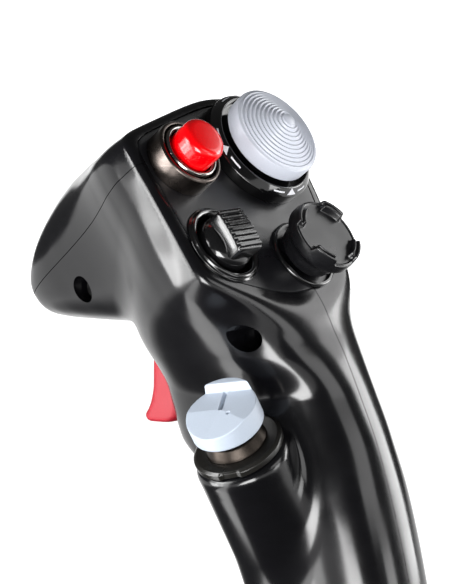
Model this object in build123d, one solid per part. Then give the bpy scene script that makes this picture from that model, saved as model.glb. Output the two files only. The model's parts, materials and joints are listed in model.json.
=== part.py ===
from build123d import *
import math
import os

# A flight-stick grip: two handle shells and a nose cover round a sloping button panel,
# four thumb hats, a push button, a trigger and the ring nut that fastens it to its base.
# X is the pilot's right, Y is forward, Z is up; the origin is at the top of the nut's thread.

# ------------------------------------------------------------------ driving dimensions, mm
PANEL_TILT = 55.0                  # slope of the button panel, degrees from the horizontal
PANEL_REAR = (0.0, 9.0, 141.0)     # rear end of the panel, on the grip's centre plane
RIM = 2.8                          # width of the shells' edge round the panel
PANEL_THICK = 2.2
PANEL_GAP = 0.2                    # all round the panel plate
WALL = 2.8                         # wall of the shells
LEDGE = 2.6                        # wall under the panel plate, which rests on it
UNDERSIDE = 131.0                  # height of the nose's flat underside
COVER_SEAM = 46.0                  # up the panel, where the nose cover meets the shells
COVER_LEAN = 4.0                   # degrees that this seam leans forward with depth
SHELL_BOTTOM = 8.0
SECTION_POINTS = 28
FIT = 0.05                         # running clearance of pins, on the radius

# The head, in planes parallel to the panel: depth below it, left, right, front and rear
HEAD = [
    (-8.0, -38.3, 27.0, 64.5, -1.5),
    (0.0, -38.3, 27.0, 64.5, -1.5),
    (8.0, -37.9, 26.8, 65.4, -0.5),
    (16.0, -35.2, 25.2, 66.8, 2.5),
    (24.0, -31.0, 23.0, 68.0, 6.5),
    (32.0, -27.0, 20.9, 68.8, 11.0),
    (40.0, -23.9, 18.9, 68.9, 16.0),
    (48.0, -21.4, 16.9, 68.3, 21.0),
    (56.0, -19.2, 14.9, 66.9, 26.5),
    (64.0, -17.0, 12.7, 64.4, 32.5),
    (71.0, -14.2, 9.9, 60.9, 38.0),
    (75.5, -11.0, 6.8, 57.6, 42.5),
    (78.4, -6.0, 2.2, 54.5, 48.5),
]
# The handle and neck, in level planes: height, rear, front, left, right
COLUMN = [
    (152.0, 16.0, 46.0, -31.0, 22.0),
    (140.0, 8.6, 52.0, -31.0, 22.5),
    (128.0, 2.2, 57.5, -25.5, 20.2),
    (116.0, -2.9, 56.0, -18.8, 18.6),
    (104.0, -7.6, 53.0, -18.0, 18.6),
    (92.0, -11.0, 40.5, -18.0, 18.8),
    (80.0, -13.8, 34.5, -17.8, 18.6),
    (68.0, -16.2, 31.0, -17.6, 18.2),
    (56.0, -18.2, 28.0, -17.4, 17.8),
    (44.0, -19.8, 25.5, -17.4, 17.4),
    (32.0, -20.9, 24.0, -17.8, 17.8),
    (20.0, -21.6, 23.2, -18.6, 18.6),
    (SHELL_BOTTOM, -22.0, 23.0, -20.0, 20.0),
]
# Sides of the panel's outline: direction in degrees, distance from its middle
OUTLINE_MIDDLE = (-5.6, 31.5)
OUTLINE_SIDES = [
    (180.0, 32.7), (102.7, 30.6), (72.0, 35.5), (0.0, 32.4),
    (-15.0, 28.5), (-69.6, 33.0), (-90.0, 33.0), (-112.7, 32.6),
]
OUTLINE_HALF_WIDTH = 32.65
OUTLINE_HALF_LENGTH = 33.0

# The tube that carries the side hat, and the top centre of its rim
TUBE_AXIS = (-0.545, -0.039, 0.837)
TUBE_RIM = (-27.7, 15.1, 104.9)
TUBE_RADIUS = 12.7
TUBE_LENGTH = 44.0
TUBE_BORE = 10.1

# Hats: place across and up the panel, and tilt centre above the panel
RED_AT = (-24.5, 44.3)
TRIM_AT = (7.1, 45.0)
WEAPON_AT = (-24.7, 19.3)
CASTLE_AT = (2.6, 12.7)
TRIM_CENTRE = 1.5
WEAPON_CENTRE = -6.0
CASTLE_CENTRE = -5.0
CROWN_CENTRE = -2.0
BOARD_TOP = -10.6                  # top of the head board, above the panel
BOARD_THICK = 1.6

# Gimbal switch, the same in all four hats
SWITCH_HALF = 6.2
CUP_RADIUS = 5.5
CUP_RISE = 2.6
CUP_DEPTH = 3.2
GIMBAL_OUTER = 4.6
GIMBAL_INNER = 3.1
GIMBAL_HALF = 1.3
PIN_RADIUS = 0.7
STEM_RADIUS = 2.2

# Red button
COLLAR_RADIUS = 9.7
COLLAR_TOP = 6.2
RED_RADIUS = 6.2
RED_TOP = 13.0
RED_BORE = 6.6

# Trim hat
BEZEL_RADIUS = 16.4
BEZEL_TOP = 5.0
TRIM_RADIUS = 13.2
TRIM_BOTTOM = 5.5
TRIM_WALL = 10.2
TRIM_TOP = 16.6

# Weapon and castle hats
DOME_RADIUS = 9.9
DOME_POCKET = 10.2
SWITCH_POCKET = 6.6
POCKET_DEPTH = 13.0

# Trigger
TRIGGER_HALF = 6.0
TRIGGER_PIVOT = (54.0, 125.0)
SLOT_GAP = 0.4

# Mount: spigot, ring nut and plug
SPIGOT_RADIUS = 15.4
SPIGOT_FACE = 0.1                  # the mating stub's end stops this far above the thread's end
LIP_RADIUS = 17.0
THREAD_RADIUS = 17.9               # clearance over an M36 x 2 male thread
NUT_RADIUS = 21.5
NUT_LOW = -9.0
NUT_TOP = 7.6

# Screws across the grip: forward, up
SHELL_SCREWS = [(73.9, 143.2), (14.2, 133.2), (-2.0, 62.0), (0.5, 27.0)]
BOSS_RADIUS = 5.0
HEAD_RADIUS = 2.7
COUNTERBORE = 3.7
SHANK_RADIUS = 1.4
HEAD_AT = -13.0

# ------------------------------------------------------------------ frames of reference
TILT = math.radians(PANEL_TILT)
PANEL_NORMAL = Vector(0, -math.sin(TILT), math.cos(TILT))
PANEL_UP = Vector(0, math.cos(TILT), math.sin(TILT))
PANEL = Plane(origin=PANEL_REAR, x_dir=(1, 0, 0), z_dir=PANEL_NORMAL)
CROWN = Plane(origin=TUBE_RIM, x_dir=(0, 1, 0), z_dir=TUBE_AXIS)


def on_panel(place, height=0.0):
    """A plane at a place across and up the panel, raised above it."""
    middle = Vector(*PANEL_REAR) + Vector(1, 0, 0) * place[0] + PANEL_UP * place[1]
    return Plane(origin=middle + PANEL_NORMAL * height, x_dir=(1, 0, 0), z_dir=PANEL_NORMAL)


def disc(radius, low, high):
    """A cylinder on the local Z axis, from low to high."""
    return Pos(0, 0, (low + high) / 2) * Cylinder(radius, high - low)


def ring(outer, inner, low, high):
    return disc(outer, low, high) - disc(inner, low - 1, high + 1)


def block(x, y, z):
    """A box from three (low, high) pairs."""
    size = [x[1] - x[0], y[1] - y[0], z[1] - z[0]]
    return Pos(sum(x) / 2, sum(y) / 2, sum(z) / 2) * Box(*size)


def turned(profile):
    """A solid of revolution from (radius, height) points."""
    face = make_face(Polyline(*[(r, 0, h) for r, h in profile], close=True))
    return revolve(face, Axis.Z)


def pin_x(radius, low, high, at=(0, 0)):
    """A pin along X, at a place in Y and Z."""
    return Pos((low + high) / 2, at[0], at[1]) * Rot(0, 90, 0) * Cylinder(radius, high - low)


def pin_y(radius, half):
    return Rot(90, 0, 0) * Cylinder(radius, 2 * half)


# ------------------------------------------------------------------ outer form of the grip
def outline_radius(angle):
    """Rounded polygon: the sides' power sum gives the radius at an angle."""
    power = 14
    total = 0.0
    for side, distance in OUTLINE_SIDES:
        facing = math.cos(angle - math.radians(side))
        total += (max(facing, 0.0) / distance) ** power
    return total ** (-1 / power)


def oval_radius(angle, a, b, power):
    return (abs(math.cos(angle) / a) ** power + abs(math.sin(angle) / b) ** power) ** (-1 / power)


def head_section(station, inset):
    """The panel's outline near the panel, turning to an oval with depth."""
    depth, left, right, front, rear = station
    a = (right - left) / 2
    b = (front - rear) / 2
    oval = min(max(depth / 30, 0), 1)
    points = []
    for i in range(SECTION_POINTS):
        angle = 2 * math.pi * i / SECTION_POINTS
        r = outline_radius(angle)
        x = r * math.cos(angle) / OUTLINE_HALF_WIDTH * a
        y = r * math.sin(angle) / OUTLINE_HALF_LENGTH * b
        ro = oval_radius(angle, a, b, 2.5)
        x += (ro * math.cos(angle) - x) * oval
        y += (ro * math.sin(angle) - y) * oval
        x *= (a - inset) / a
        y *= (b - inset) / b
        points.append((x + (left + right) / 2, y + (front + rear) / 2))
    return on_panel((0, 0), -depth) * make_face(Spline(*points, periodic=True))


def head_volume(inset=0.0):
    stations = [s for s in HEAD if s[2] - s[1] > 2 * inset + 6]
    return loft([head_section(s, inset) for s in stations])


def column_section(station, inset):
    height, rear, front, left, right = station
    a = (right - left) / 2 - inset
    b = (front - rear) / 2 - inset
    points = []
    for i in range(SECTION_POINTS):
        angle = 2 * math.pi * i / SECTION_POINTS
        r = oval_radius(angle, a, b, 2.5)
        x = r * math.cos(angle) + (left + right) / 2
        points.append((x, r * math.sin(angle) + (front + rear) / 2))
    return Plane.XY.offset(height) * make_face(Spline(*points, periodic=True))


def column_volume(inset=0.0):
    return loft([column_section(s, inset) for s in COLUMN])


def below_panel(depth):
    """Everything deeper than a depth below the panel."""
    return PANEL * block((-200, 200), (-300, 300), (-400, -depth))


def body_volume(inset, tube_radius, depth):
    head = head_volume(inset) & block((-100, 100), (-100, 200), (UNDERSIDE + inset, 400))
    body = (head + column_volume(inset)) & below_panel(depth)
    return body + CROWN * disc(tube_radius, -TUBE_LENGTH, 0)


def panel_outline(inset):
    """Outline of the panel plate: the head's outline less the rim."""
    points = []
    for i in range(SECTION_POINTS * 2):
        angle = math.pi * i / SECTION_POINTS
        r = outline_radius(angle)
        x = r * math.cos(angle) * (1 - inset / OUTLINE_HALF_WIDTH) + OUTLINE_MIDDLE[0]
        points.append((x, r * math.sin(angle) * (1 - inset / OUTLINE_HALF_LENGTH) + OUTLINE_MIDDLE[1]))
    return make_face(Spline(*points, periodic=True))


def panel_slab(inset, low, high):
    return PANEL * (Pos(0, 0, low) * extrude(panel_outline(inset), high - low))


# ------------------------------------------------------------------ shells
def screw_bosses():
    bosses = [pin_x(BOSS_RADIUS, -60, 60, at) for at in SHELL_SCREWS]
    return bosses[0] + bosses[1:]


def screw_holes():
    holes = []
    for at in SHELL_SCREWS:
        holes.append(pin_x(SHANK_RADIUS + FIT, HEAD_AT, 11, at))
        holes.append(pin_x(COUNTERBORE, -60, HEAD_AT, at))
    return holes


def trigger_slot():
    return block((-TRIGGER_HALF - SLOT_GAP, TRIGGER_HALF + SLOT_GAP), (40, 80), (104.6, UNDERSIDE - 0.2))


def grip_wall():
    """The whole shell of the grip, before it is split into its mouldings."""
    outer = body_volume(0, TUBE_RADIUS, 0)
    cavity = body_volume(WALL, TUBE_BORE, PANEL_THICK)
    ledge = panel_slab(RIM + LEDGE, -60, 1) & outer
    rim_zone = PANEL * block((-200, 200), (-300, 300), (-9, 1))
    cavity = (cavity - rim_zone) + (ledge & rim_zone)
    cavity = cavity + CROWN * disc(TUBE_BORE, -14, 1)
    wall = outer - cavity + (screw_bosses() & outer)
    wall -= panel_slab(RIM, -PANEL_THICK, 3)
    wall -= screw_holes()
    wall -= [trigger_slot(), pin_x(1.5 + FIT, -9, 9, TRIGGER_PIVOT)]
    wall -= disc(13.2, 0, 24)
    wall -= on_panel(WEAPON_AT) * disc(DOME_POCKET, -POCKET_DEPTH, 1)
    for place in (WEAPON_AT, CASTLE_AT):
        reach = (-SWITCH_POCKET, SWITCH_POCKET)
        wall -= on_panel(place) * block(reach, reach, (-POCKET_DEPTH, 1))
    return wall


def cover_side():
    """The half space in front of the nose cover's seam."""
    seam = Plane(origin=PANEL.origin + PANEL_UP * COVER_SEAM, x_dir=(1, 0, 0), z_dir=PANEL_UP)
    return seam * Rot(-COVER_LEAN, 0, 0) * block((-100, 100), (-200, 200), (0, 200))


def shells():
    wall = grip_wall()
    front = cover_side()
    rear = wall - front
    left = rear & block((-100, 0), (-100, 200), (-50, 300))
    right = rear & block((0, 100), (-100, 200), (-50, 300))
    return {"left_shell": left, "right_shell": right, "nose_cover": wall & front}


def shell_screw(at):
    head = pin_x(HEAD_RADIUS, HEAD_AT - 2.2, HEAD_AT - FIT, at)
    socket = pin_x(1.2, HEAD_AT - 3, HEAD_AT - 1, at)
    return head + pin_x(SHANK_RADIUS, HEAD_AT - 1, 10.5, at) - socket


# ------------------------------------------------------------------ panel and its hats
def panel_plate():
    plate = panel_slab(RIM + PANEL_GAP, -PANEL_THICK, 0)
    holes = [(RED_AT, 7.6), (TRIM_AT, 9.4), (WEAPON_AT, DOME_POCKET), (CASTLE_AT, 8.2)]
    for place, radius in holes:
        plate -= on_panel(place) * disc(radius, -5, 2)
    return plate


def head_board():
    board = panel_slab(RIM + LEDGE + 4.5, BOARD_TOP - BOARD_THICK, BOARD_TOP)
    return board


def switch_body(centre, foot):
    """A square cup, with bearing holes for the gimbal's trunnions."""
    half = SWITCH_HALF
    cup = block((-half, half), (-half, half), (foot, centre + CUP_RISE))
    cup -= disc(CUP_RADIUS, centre - CUP_DEPTH, centre + CUP_RISE + 1)
    return cup - Pos(0, 0, centre) * pin_x(PIN_RADIUS + FIT, -10, 10)


def gimbal_ring(centre):
    """A ring with two trunnions across and two bearing holes fore and aft."""
    half = GIMBAL_HALF
    body = ring(GIMBAL_OUTER, GIMBAL_INNER, -half, half)
    body += pin_x(PIN_RADIUS, GIMBAL_INNER + 0.4, SWITCH_HALF - 0.1)
    body += pin_x(PIN_RADIUS, -SWITCH_HALF + 0.1, -GIMBAL_INNER - 0.4)
    return Pos(0, 0, centre) * (body - pin_y(PIN_RADIUS + FIT, 8))


def hat_stem(centre, top):
    """A post with a cross pin that turns in the gimbal ring."""
    post = disc(STEM_RADIUS, -GIMBAL_HALF, top - centre)
    post += disc(1.2, -GIMBAL_HALF - 1.2, 0)
    return Pos(0, 0, centre) * (post + pin_y(PIN_RADIUS, GIMBAL_OUTER - 0.2))


def stem_bore(low, top):
    return disc(STEM_RADIUS + FIT, low, top + FIT)


def red_button():
    place = on_panel(RED_AT)
    collar = turned([
        (RED_BORE, -6.5), (7.4, -6.5), (7.4, 0), (COLLAR_RADIUS, 0), (COLLAR_RADIUS, COLLAR_TOP - 0.5),
        (COLLAR_RADIUS - 0.5, COLLAR_TOP), (8.6, COLLAR_TOP), (8.1, 4.6), (8.1, 3.4), (RED_BORE, 3.4),
    ])
    key = Pos(COLLAR_RADIUS * math.cos(math.radians(-50)), COLLAR_RADIUS * math.sin(math.radians(-50)), 0.5)
    collar -= key * Cylinder(1.1, 1.4)
    bezel = turned([(RED_BORE, 3.45), (8.0, 3.45), (8.0, 6.0), (7.6, 6.8), (7.1, 6.8), (RED_BORE, 6.2)])
    cap = disc(RED_RADIUS, -2, RED_TOP)
    cap = fillet(cap.edges().group_by(Axis.Z)[-1], 2.2)
    cap += disc(1.5, -4.2, -1)
    switch = block((-3, 3), (-3, 3), (BOARD_TOP, BOARD_TOP + 3.6))
    coil = Helix(pitch=1.05, height=4.2, radius=3.6)
    wire = Plane(origin=coil @ 0, z_dir=coil % 0) * Circle(0.3)
    spring = Pos(0, 0, BOARD_TOP + 3.95) * sweep(wire, coil)
    return {
        "red_button_collar": place * collar,
        "red_button_bezel": place * bezel,
        "red_button_cap": place * cap,
        "red_button_switch": place * switch,
        "red_button_spring": place * spring,
    }


def trim_hat():
    place = on_panel(TRIM_AT)
    bezel = turned([
        (9.4, 0), (BEZEL_RADIUS, 0), (BEZEL_RADIUS, 3.9), (BEZEL_RADIUS - 0.9, BEZEL_TOP),
        (14.2, BEZEL_TOP), (14.2, 2.4), (9.4, 2.4),
    ])
    cap = turned([
        (0, TRIM_BOTTOM), (TRIM_RADIUS, TRIM_BOTTOM), (TRIM_RADIUS, TRIM_WALL),
        (TRIM_RADIUS - 0.6, TRIM_WALL + 0.6), (2.4, TRIM_TOP - 0.6), (1.0, TRIM_TOP), (0, TRIM_TOP),
    ])
    cap -= stem_bore(TRIM_BOTTOM - 1, 12.0)
    return {
        "trim_bezel": place * bezel,
        "trim_cap": place * cap,
        "trim_stem": place * hat_stem(TRIM_CENTRE, 12.0),
        "trim_gimbal": place * gimbal_ring(TRIM_CENTRE),
        "trim_switch": place * switch_body(TRIM_CENTRE, BOARD_TOP),
    }


def weapon_hat():
    place = on_panel(WEAPON_AT)
    bezel = turned([(8.9, -1.6), (10.0, -1.6), (10.0, 0), (11.2, 0), (11.2, 0.9), (10.8, 1.5), (8.9, 1.5)])
    centre = Pos(0, 0, WEAPON_CENTRE)
    dome = centre * (Sphere(DOME_RADIUS) - Sphere(DOME_RADIUS - 1.6)) & disc(20, 0.4, 10)
    dome += disc(STEM_RADIUS + 1.4, 1.2, 3.1)
    dome -= stem_bore(-5, 3.0)
    pad = block((-4.8, 4.8), (-6.2, 6.2), (3.4, 7.4)) - centre * Sphere(DOME_RADIUS + 0.05)
    cheek = block((-4.8, 4.8), (-6.2, 6.2), (6.4, 8.4)) - [
        Pos(0, 1.5 * k, 8.0) * Box(8.0, 0.8, 1.8) for k in range(-3, 4)]
    pad += cheek
    return {
        "weapon_bezel": place * bezel,
        "weapon_dome": place * dome,
        "weapon_pad": place * pad,
        "weapon_stem": place * hat_stem(WEAPON_CENTRE, 3.0),
        "weapon_gimbal": place * gimbal_ring(WEAPON_CENTRE),
        "weapon_switch": place * switch_body(WEAPON_CENTRE, BOARD_TOP),
    }


def castle_hat():
    place = on_panel(CASTLE_AT)
    base = ring(9.9, 9.0, 0, 1.2)
    cap = turned([
        (0, 1.5), (7.1, 1.5), (7.3, 2.0), (8.6, 5.5), (10.3, 7.4), (10.3, 9.4), (9.7, 10.2), (0, 10.2),
    ])
    lug = ring(10.2, 7.6, 9.6, 12.2) & block((-3.4, 3.4), (5, 12), (0, 20))
    for turn in range(4):
        cap += Rot(0, 0, 90 * turn + 45) * lug
    cap -= stem_bore(-5, 8.0)
    return {
        "castle_base": place * base,
        "castle_cap": place * cap,
        "castle_stem": place * hat_stem(CASTLE_CENTRE, 8.0),
        "castle_gimbal": place * gimbal_ring(CASTLE_CENTRE),
        "castle_switch": place * switch_body(CASTLE_CENTRE, BOARD_TOP),
    }


def crown_hat():
    flange = turned([
        (8.9, -12), (TUBE_BORE - 0.1, -12), (TUBE_BORE - 0.1, 0.2), (12.0, 0.2), (12.0, 1.9),
        (11.5, 2.4), (7.6, 2.4), (7.6, 0.9), (8.9, 0.9),
    ])
    collar = turned([(5.6, 2.4), (8.8, 2.4), (8.6, 3.4), (7.2, 5.6), (5.6, 5.6)])
    cap = disc(9.65, 7.6, 16.6)
    low_side = block((-12, 12), (-12, 0.6), (12.8, 20)) - Rot(0, 0, 40) * block((0.5, 12), (-12, 12), (0, 30))
    cap -= low_side
    cap -= Rot(0, 0, -25) * block((-0.6, 0.6), (0, 8.2), (12.6, 20))
    cap = fillet(cap.edges().filter_by(GeomType.CIRCLE).group_by(Axis.Z)[0], 0.4)
    cap -= stem_bore(5, 11.0)
    return {
        "crown_flange": CROWN * flange,
        "crown_collar": CROWN * collar,
        "crown_cap": CROWN * cap,
        "crown_stem": CROWN * hat_stem(CROWN_CENTRE, 11.0),
        "crown_gimbal": CROWN * gimbal_ring(CROWN_CENTRE),
        "crown_switch": CROWN * switch_body(CROWN_CENTRE, -11.0),
    }


# ------------------------------------------------------------------ trigger
def trigger_set():
    outline = Polyline(
        (63.4, 128.6), (63.6, 122.7), (63.9, 115.9), (65.0, 111.7), (67.3, 107.6), (66.8, 106.0),
        (58.0, 106.0), (55.5, 108.0), (53.5, 114.0), (52.0, 119.5), (49.8, 123.0), (50.0, 127.5),
        (53.0, 129.4), close=True)
    blade = extrude(Plane.YZ * make_face(outline), TRIGGER_HALF, both=True)
    blade -= pin_x(1.5 + FIT, -20, 20, TRIGGER_PIVOT)
    pivot = pin_x(1.5, -8.8, 8.8, TRIGGER_PIVOT)
    coil = Helix(pitch=1.4, height=5.6, radius=2.0)
    wire = Plane(origin=coil @ 0, z_dir=coil % 0) * Circle(0.3)
    spring = Pos(0, 47.0, 114.5) * Rot(-90, 0, 0) * sweep(wire, coil)
    switch = block((-3.2, 3.2), (38.5, 45.5), (111, 122))
    return {
        "trigger": blade,
        "trigger_pin": pivot,
        "trigger_spring": spring,
        "trigger_switch": switch,
    }


# ------------------------------------------------------------------ inside and mount
def insides():
    weight = block((-12, 12), (-9, 9), (33.5, 56))
    weight = fillet(weight.edges().filter_by(Axis.Z), 2)
    board = block((-10.5, 10.5), (13.4, 15.0), (32, 78))
    chip = block((-4, 4), (15.0, 16.2), (50, 58))
    route = Spline(
        (0, -5, 14.6), (0, -6.3, 22), (0, -10, 29), (0, -12, 40), (0, -12.3, 60), (0, -7, 85),
        (0, -1, 104), (-3, 14, 118), (-5, 26, 124))
    wire = Plane(origin=route @ 0, z_dir=route % 0) * Circle(1.3)
    return {
        "ballast_weight": weight,
        "main_board": board,
        "board_chip": chip,
        "wiring_loom": sweep(wire, route),
        "head_board": head_board(),
    }


def mount_set():
    spigot = turned([
        (8.2, SPIGOT_FACE), (LIP_RADIUS, SPIGOT_FACE), (LIP_RADIUS, 2.4), (SPIGOT_RADIUS, 2.4), (SPIGOT_RADIUS, SHELL_BOTTOM),
        (13.1, SHELL_BOTTOM), (13.1, 23), (8.2, 23),
    ])
    spigot -= block((-1.5, 1.5), (14.5, 20), (-1, 1.6))
    for at in SHELL_SCREWS:
        spigot -= pin_x(BOSS_RADIUS + 0.1, -60, 60, at)
    nut = turned([
        (THREAD_RADIUS, NUT_LOW), (NUT_RADIUS - 0.8, NUT_LOW), (NUT_RADIUS, NUT_LOW + 0.8),
        (NUT_RADIUS, NUT_TOP - 1.2), (NUT_RADIUS - 1.2, NUT_TOP), (SPIGOT_RADIUS + 0.35, NUT_TOP),
        (SPIGOT_RADIUS + 0.35, 2.75), (THREAD_RADIUS + 0.6, 2.75), (THREAD_RADIUS + 0.6, 0),
        (THREAD_RADIUS, 0),
    ])
    grooves = [Rot(0, 0, 15 * k) * Pos(NUT_RADIUS + 0.4, 0, -1.2) * Cylinder(1.0, 12) for k in range(24)]
    nut -= grooves
    plug = ring(8.1, 6.6, 0.3, 14) + disc(7.0, 3, 8)
    pins = [Pos(3.8 * math.cos(math.radians(72 * k)), 3.8 * math.sin(math.radians(72 * k)), 0)
            * disc(0.6, 0.8, 11) for k in range(5)]
    for pin in pins:
        plug -= pin
    return {
        "mount_spigot": spigot,
        "ring_nut": nut,
        "plug_body": plug,
        "plug_pins": Compound(children=pins),
    }


# ------------------------------------------------------------------ write the sub-parts
def main():
    os.makedirs("parts", exist_ok=True)
    nodes = {"panel_plate": panel_plate()}
    for group in (shells, red_button, trim_hat, weapon_hat, castle_hat, crown_hat, trigger_set,
                  insides, mount_set):
        nodes.update(group())
    nodes["shell_screws"] = Compound(children=[shell_screw(at) for at in SHELL_SCREWS])
    for name, shape in nodes.items():
        export_step(shape, "parts/" + name + ".step")


main()
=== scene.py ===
import json
import math
import bmesh
import bpy
import numpy as np
from mathutils import Matrix, Vector

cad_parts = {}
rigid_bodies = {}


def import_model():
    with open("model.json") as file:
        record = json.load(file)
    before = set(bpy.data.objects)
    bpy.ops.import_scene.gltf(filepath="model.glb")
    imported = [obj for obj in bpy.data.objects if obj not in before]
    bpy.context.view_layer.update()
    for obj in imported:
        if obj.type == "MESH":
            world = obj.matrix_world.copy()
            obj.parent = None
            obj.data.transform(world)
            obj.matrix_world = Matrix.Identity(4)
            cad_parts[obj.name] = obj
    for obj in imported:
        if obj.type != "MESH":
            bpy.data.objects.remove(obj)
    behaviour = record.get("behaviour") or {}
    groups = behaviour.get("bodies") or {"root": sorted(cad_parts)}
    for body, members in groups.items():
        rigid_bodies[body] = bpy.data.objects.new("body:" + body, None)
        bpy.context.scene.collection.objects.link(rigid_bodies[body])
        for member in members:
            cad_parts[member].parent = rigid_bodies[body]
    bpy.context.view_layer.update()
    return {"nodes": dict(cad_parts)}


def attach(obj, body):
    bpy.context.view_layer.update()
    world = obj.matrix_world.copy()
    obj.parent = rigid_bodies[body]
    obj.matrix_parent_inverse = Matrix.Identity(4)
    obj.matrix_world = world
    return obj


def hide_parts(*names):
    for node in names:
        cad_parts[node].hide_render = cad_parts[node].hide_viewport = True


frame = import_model()
nodes = frame["nodes"]

# ------------------------------------------------------------------ camera
# On the pilot's left and behind the grip, a little above the button panel, with a long lens.
RIGHT = (0.64001, -0.76695, -0.04659)
ABOVE = (0.11300, 0.03397, 0.99301)
BACK = (-0.76001, -0.64080, 0.10841)
camera = bpy.data.objects.new("camera", bpy.data.cameras.new("camera"))
camera.data.lens = 190.4
camera.data.sensor_width = 36
camera.data.clip_end = 20
turn = Matrix((RIGHT, ABOVE, BACK)).transposed().to_4x4()
camera.matrix_world = Matrix.Translation((-0.623365, -0.484996, 0.230298)) @ turn
bpy.context.scene.collection.objects.link(camera)
bpy.context.scene.camera = camera


# ------------------------------------------------------------------ handle shells and nose cover
# The hollow grip is three mouldings in glossy black ABS: a left and a right shell that meet on
# the centre plane, and a nose cover in front of a sloping seam. Four screws cross it.
TILT = math.radians(55)
REAR = np.array([0, 9, 141.0])
ACROSS = np.array([1.0, 0, 0])
UP = np.array([0, math.cos(TILT), math.sin(TILT)])
NORMAL = np.array([0, -math.sin(TILT), math.cos(TILT)])
# Head, in planes parallel to the panel: depth, left, right, front, rear
HEAD = np.array([
    (-8, -38.3, 27, 64.5, -1.5), (0, -38.3, 27, 64.5, -1.5), (8, -37.9, 26.8, 65.4, -0.5),
    (16, -35.2, 25.2, 66.8, 2.5), (24, -31, 23, 68, 6.5), (32, -27, 20.9, 68.8, 11),
    (40, -23.9, 18.9, 68.9, 16), (48, -21.4, 16.9, 68.3, 21), (56, -19.2, 14.9, 66.9, 26.5),
    (64, -17, 12.7, 64.4, 32.5), (71, -14.2, 9.9, 60.9, 38), (75.5, -11, 6.8, 57.6, 42.5),
    (78.6, -2.3, -1.9, 53, 52.5)])
# Handle, in level planes: height, rear, front, left, right
COLUMN = np.array([
    (-4, -22, 22.6, -21, 21), (8, -22, 23, -20, 20), (20, -21.6, 23.2, -18.6, 18.6),
    (32, -20.9, 24, -17.8, 17.8), (44, -19.8, 25.5, -17.4, 17.4), (56, -18.2, 28, -17.4, 17.8),
    (68, -16.2, 31, -17.6, 18.2), (80, -13.8, 34.5, -17.8, 18.6), (92, -11, 40.5, -18, 18.8),
    (104, -7.6, 53, -18, 18.6), (116, -2.9, 56, -18.8, 18.6), (128, 2.2, 57.5, -25.5, 20.2),
    (140, 8.6, 52, -31, 22.5), (152, 16, 45, -29, 20), (164, 24, 38, -20, 12), (176, 30, 33, -9, 3)])
# Sides of the panel's outline: direction in degrees, distance from its middle
OUTLINE = np.array([(180, 32.7), (102.7, 30.6), (72, 35.5), (0, 32.4), (-15, 28.5),
                    (-69.6, 33), (-90, 33), (-112.7, 32.6)])
OUTLINE_HALF = np.array([32.65, 33.0])
OUTLINE_MIDDLE = np.array([-5.6, 31.5])
TUBE_AXIS = np.array([-0.545, -0.039, 0.837]) / np.linalg.norm([-0.545, -0.039, 0.837])
TUBE_RIM = np.array([-27.7, 15.1, 104.9])
TUBE_RADIUS = 12.7
WALL = 2.8
RIM = 2.8
PANEL_THICK = 2.2
LEDGE = 2.6
SCREWS = [(73.9, 143.2), (14.2, 133.2), (-2.0, 62.0), (0.5, 27.0)]
SCREW_BOSS, SCREW_HEAD, SCREW_CORE = 5.0, 3.7, 1.45
FOOT = 8.0
SEAM_GAP = 0.11
SEAM_AT, SEAM_LEAN = 46, 4
# Places across and up the panel
RED_AT, TRIM_AT, WEAPON_AT, CASTLE_AT = (-24.5, 44.3), (7.1, 45.0), (-24.7, 19.3), (2.6, 12.7)


def through(t, table, column):
    """Cubic Hermite curve through a table's column, each slope the harmonic mean of its chords."""
    knots, values = table[:, 0], table[:, column]
    span = np.diff(knots)
    chord = np.diff(values) / span
    slope = np.concatenate(([chord[0]], np.zeros(len(chord) - 1), [chord[-1]]))
    same = chord[:-1] * chord[1:] > 0
    both = np.where(same, chord[:-1] + chord[1:], 1)
    slope[1:-1] = np.where(same, 2 * chord[:-1] * chord[1:] / both, 0)
    t = np.clip(t, knots[0], knots[-1])
    i = np.clip(np.searchsorted(knots, t) - 1, 0, len(span) - 1)
    u = (t - knots[i]) / span[i]
    start = values[i] * (1 + 2 * u) * (1 - u) ** 2 + slope[i] * span[i] * u * (1 - u) ** 2
    return start + values[i + 1] * u * u * (3 - 2 * u) + slope[i + 1] * span[i] * u * u * (u - 1)


def join(a, b, width):
    """The smaller of two fields, with a round fillet where they are within a width of each other."""
    near = np.clip(width - np.abs(a - b), 0, None) / width
    return np.minimum(a, b) - near * near * width / 4


def outline_radius(angle):
    """Rounded polygon: a power sum over its sides gives the distance at an angle."""
    facing = np.cos(angle[..., None] - np.radians(OUTLINE[:, 0])).clip(0)
    return ((facing / OUTLINE[:, 1]) ** 14).sum(-1) ** (-1 / 14)


def head_field(p):
    """Signed distance, nearly: the panel's outline, turning to an oval with depth."""
    d = -(p - REAR) @ NORMAL
    left, right, front, rear = [through(d, HEAD, k) for k in (1, 2, 3, 4)]
    a, b = (right - left) / 2, (front - rear) / 2
    x = (p[..., 0] - (left + right) / 2) / a
    y = ((p - REAR) @ UP - (front + rear) / 2) / b
    reach = np.hypot(x, y) + 1e-9
    angle = np.arctan2(y * OUTLINE_HALF[1], x * OUTLINE_HALF[0])
    r = outline_radius(angle)
    polygon = np.hypot(r * np.cos(angle) / OUTLINE_HALF[0], r * np.sin(angle) / OUTLINE_HALF[1])
    oval = (np.abs(x / reach) ** 2.5 + np.abs(y / reach) ** 2.5) ** -0.4
    mix = np.clip((d - 4) / 46, 0, 1)
    mix = mix * mix * (3 - 2 * mix)
    side = (reach / (polygon * (1 - mix) + oval * mix) - 1) * np.minimum(a, b)
    return -join(-np.maximum(side, d - 80.2), p[..., 2] - 131, 10)


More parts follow.
